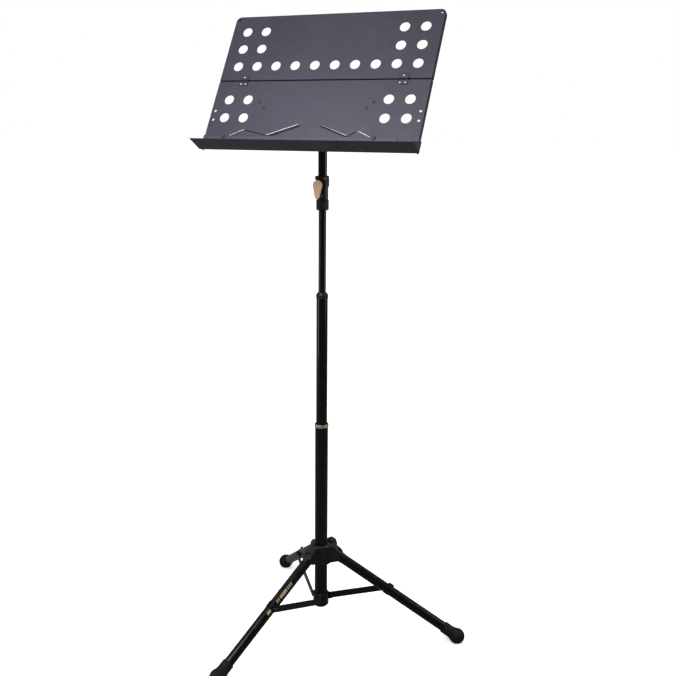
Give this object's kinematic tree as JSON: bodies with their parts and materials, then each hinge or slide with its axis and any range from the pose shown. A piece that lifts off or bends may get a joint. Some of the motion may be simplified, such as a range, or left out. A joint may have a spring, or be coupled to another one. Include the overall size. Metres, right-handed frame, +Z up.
{
  "type": "music stand",
  "caption": "Folding orchestral music stand: perforated two-panel desk with shelf and wire page retainers on a telescoping mast with a folding tripod.",
  "frame": {"origin": "point on the floor under the mast axis, with the tripod open and the mast at full height", "axes": "+Z up along the mast; the reader stands on the -Y side and the desk faces -Y, leaning back; +X is the reader's right"},
  "size_m": [0.5997, 0.602, 1.4406],
  "materials": {
    "desk_paint": "satin",
    "black_paint": "gloss",
    "black_plastic": "satin",
    "amber_plastic": "gloss",
    "amber_metal": "satin",
    "black_rubber": "matte",
    "steel": "brushed",
    "wire": "satin",
    "black_steel": "blackened",
    "nylon": "matte"
  },
  "bodies": {
    "stand_base": {"lower_tube": "black_paint", "lower_bush": "nylon", "accent_ring": "amber_metal", "tube_end_cap": "black_plastic", "mast_bracket": "black_paint", "brace_pins": "black_steel"},
    "middle_section": {"middle_tube": "black_paint", "middle_guide": "nylon", "step_ferrule": "black_plastic", "rod_sleeve": "nylon", "inner_rod": "black_paint", "rod_tip_guide": "nylon"},
    "clutch_slider": {"grip_collar": "black_plastic"},
    "desk_support": {"desk_post": "black_paint", "tilt_head": "black_plastic", "clutch_housing": "black_plastic", "locking_plates": "steel", "plate_springs": "steel", "trigger_pin": "steel"},
    "clutch_lever": {"clutch_trigger": "amber_plastic"},
    "music_desk": {"lower_panel": "desk_paint", "tray": "desk_paint", "tray_rivets": "steel", "desk_bracket": "black_paint", "bracket_rivets": "black_steel", "tilt_washers": "nylon", "tilt_bolt": "black_steel", "tilt_nut": "black_steel", "hinge_lower_leaves": "desk_paint", "hinge_pins": "steel", "hinge_lower_rivets": "steel"},
    "folding_panel": {"upper_panel": "desk_paint", "hinge_upper_leaves": "desk_paint", "hinge_upper_rivets": "steel"},
    "retainer_left": {"page_retainer_left": "wire", "retainer_washer_left": "black_steel"},
    "retainer_right": {"page_retainer_right": "wire", "retainer_washer_right": "black_steel"},
    "sliding_hub": {"leg_hub": "black_plastic", "leg_bolts": "black_steel"},
    "lock_knob": {"hub_knob": "black_plastic", "knob_stud": "steel"},
    "leg_right": {"leg_plug_right": "black_plastic", "leg_tube_right": "black_paint", "leg_clip_right": "black_paint", "leg_boot_right": "black_rubber"},
    "brace_right": {"brace_right": "black_paint", "brace_rivet_right": "black_steel"},
    "leg_rear": {"leg_plug_rear": "black_plastic", "leg_tube_rear": "black_paint", "leg_clip_rear": "black_paint", "leg_boot_rear": "black_rubber"},
    "brace_rear": {"brace_rear": "black_paint", "brace_rivet_rear": "black_steel"},
    "leg_front": {"leg_plug_front": "black_plastic", "leg_tube_front": "black_paint", "leg_clip_front": "black_paint", "leg_boot_front": "black_rubber"},
    "brace_front": {"brace_front": "black_paint", "brace_rivet_front": "black_steel"}
  },
  "joints": [
    {"name": "middle_height", "type": "slide", "parent": "stand_base", "child": "middle_section", "axis": [0, 0, 1], "range_m": [-0.29, 0]},
    {"name": "clutch_height", "type": "slide", "parent": "middle_section", "child": "clutch_slider", "axis": [0, 0, 1], "range_m": [-0.132, 0]},
    {"name": "desk_swivel", "type": "hinge", "parent": "clutch_slider", "child": "desk_support", "pos_m": [0, 0, 1.0405], "axis": [0, 0, 1], "continuous": true},
    {"name": "clutch_squeeze", "type": "hinge", "parent": "desk_support", "child": "clutch_lever", "pos_m": [-0.00229, -0.01629, 1.0485], "axis": [-0.9903, 0.1392, 0], "range_deg": [0, 5], "stiffness_Nm_per_rad": 2, "springref_deg": -6.88},
    {"name": "desk_tilt", "type": "hinge", "parent": "desk_support", "child": "music_desk", "pos_m": [0, 0, 1.25], "axis": [-1, 0, 0], "range_deg": [-30.5, 59.5]},
    {"name": "panel_fold", "type": "hinge", "parent": "music_desk", "child": "folding_panel", "pos_m": [0, -0.01285, 1.29714], "axis": [1, 0, 0], "range_deg": [0, 160]},
    {"name": "retainer_swing_left", "type": "hinge", "parent": "music_desk", "child": "retainer_left", "pos_m": [-0.172, -0.13235, 1.17604], "axis": [0, -0.8616, 0.5075], "range_deg": [0, 110]},
    {"name": "retainer_swing_right", "type": "hinge", "parent": "music_desk", "child": "retainer_right", "pos_m": [0.172, -0.13235, 1.17604], "axis": [0, 0.8616, -0.5075], "range_deg": [0, 110]},
    {"name": "hub_slide", "type": "slide", "parent": "stand_base", "child": "sliding_hub", "axis": [0, 0, 1], "range_m": [0, 0.1807]},
    {"name": "knob_turn", "type": "hinge", "parent": "sliding_hub", "child": "lock_knob", "pos_m": [0.00818, 0.02594, 0.20698], "axis": [0.3007, 0.9537, 0], "continuous": true},
    {"name": "leg_fold_right", "type": "hinge", "parent": "sliding_hub", "child": "leg_right", "pos_m": [0.03732, 0.00766, 0.19398], "axis": [-0.2011, 0.9796, 0], "range_deg": [0, 58.75]},
    {"name": "brace_fold_right", "type": "hinge", "parent": "stand_base", "child": "brace_right", "pos_m": [0.02141, 0.00439, 0.078], "axis": [0.2011, -0.9796, 0], "range_deg": [0, 68.66]},
    {"name": "leg_fold_rear", "type": "hinge", "parent": "sliding_hub", "child": "leg_rear", "pos_m": [-0.0253, 0.02849, 0.19398], "axis": [-0.7478, -0.6639, 0], "range_deg": [0, 58.75]},
    {"name": "brace_fold_rear", "type": "hinge", "parent": "stand_base", "child": "brace_rear", "pos_m": [-0.01451, 0.01634, 0.078], "axis": [0.7478, 0.6639, 0], "range_deg": [0, 68.66]},
    {"name": "leg_fold_front", "type": "hinge", "parent": "sliding_hub", "child": "leg_front", "pos_m": [-0.01203, -0.03615, 0.19398], "axis": [0.9489, -0.3156, 0], "range_deg": [0, 58.75]},
    {"name": "brace_fold_front", "type": "hinge", "parent": "stand_base", "child": "brace_front", "pos_m": [-0.0069, -0.02074, 0.078], "axis": [-0.9489, 0.3156, 0], "range_deg": [0, 68.66]}
  ],
  "couplings": [
    {"joint": "leg_fold_right", "follows": "hub_slide", "rad_per_m": 5.6689},
    {"joint": "brace_fold_right", "follows": "hub_slide", "rad_per_m": 6.6248},
    {"joint": "leg_fold_rear", "follows": "hub_slide", "rad_per_m": 5.6689},
    {"joint": "brace_fold_rear", "follows": "hub_slide", "rad_per_m": 6.6248},
    {"joint": "leg_fold_front", "follows": "hub_slide", "rad_per_m": 5.6689},
    {"joint": "brace_fold_front", "follows": "hub_slide", "rad_per_m": 6.6248}
  ]
}
